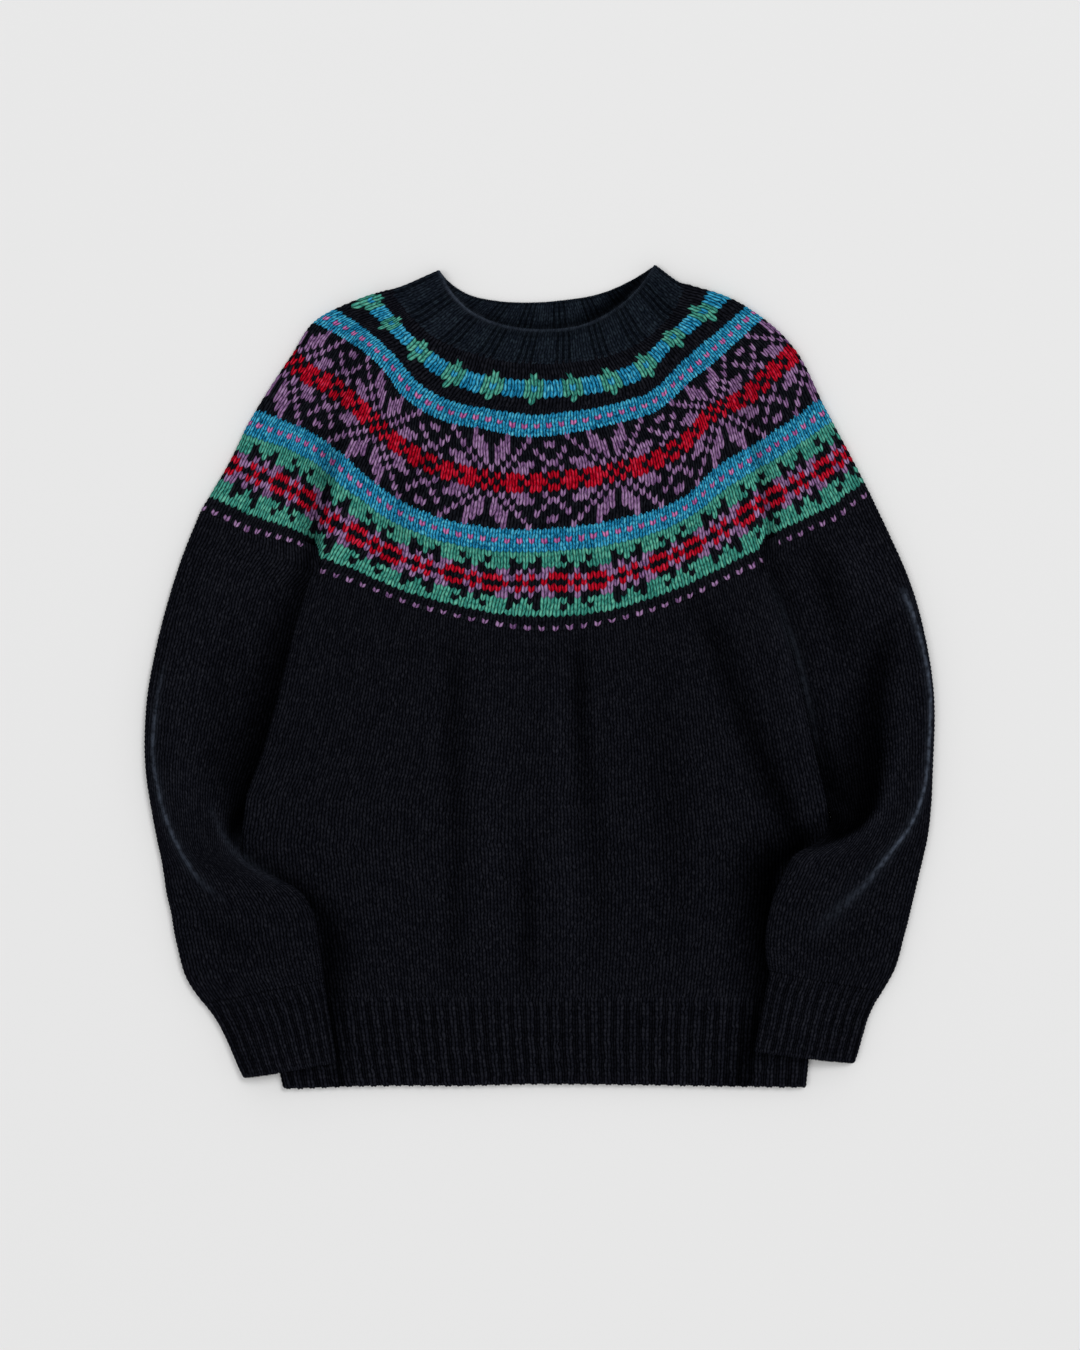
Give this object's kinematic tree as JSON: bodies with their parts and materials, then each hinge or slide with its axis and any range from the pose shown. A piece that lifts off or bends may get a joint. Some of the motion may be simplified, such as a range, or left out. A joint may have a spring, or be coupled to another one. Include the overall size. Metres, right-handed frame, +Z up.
{
  "type": "fair isle jumper",
  "caption": "Knitted round-yoke jumper laid flat, with a patterned yoke, ribbed neckband, hem and cuffs, and sleeves folded down over its sides.",
  "frame": {"origin": "on the surface that the jumper lies on, under the middle of its outline", "axes": "+X across the jumper towards the sleeve on the right seen from above, +Y from hem to neck, +Z up from the surface"},
  "size_m": [0.592, 0.6166, 0.0203],
  "materials": {
    "navy_knit": "matte heathered lambswool, stocking stitch",
    "navy_rib": "matte lambswool, one by one rib",
    "neckband_rib": "matte lambswool, broad rib",
    "yoke_pattern": "matte lambswool, stranded colour knitting in navy, blue, green, lilac, red and pink"
  },
  "bodies": {
    "root": {"body_front": "navy_knit", "body_back": "navy_knit", "hem_rib_front": "navy_rib", "hem_rib_back": "navy_rib", "yoke_front": "yoke_pattern", "yoke_back": "yoke_pattern", "neckband_front": "neckband_rib", "neckband_back": "neckband_rib", "sleeve_left": "navy_knit", "sleeve_right": "navy_knit", "cuff_left": "navy_rib", "cuff_right": "navy_rib"}
  },
  "joints": []
}
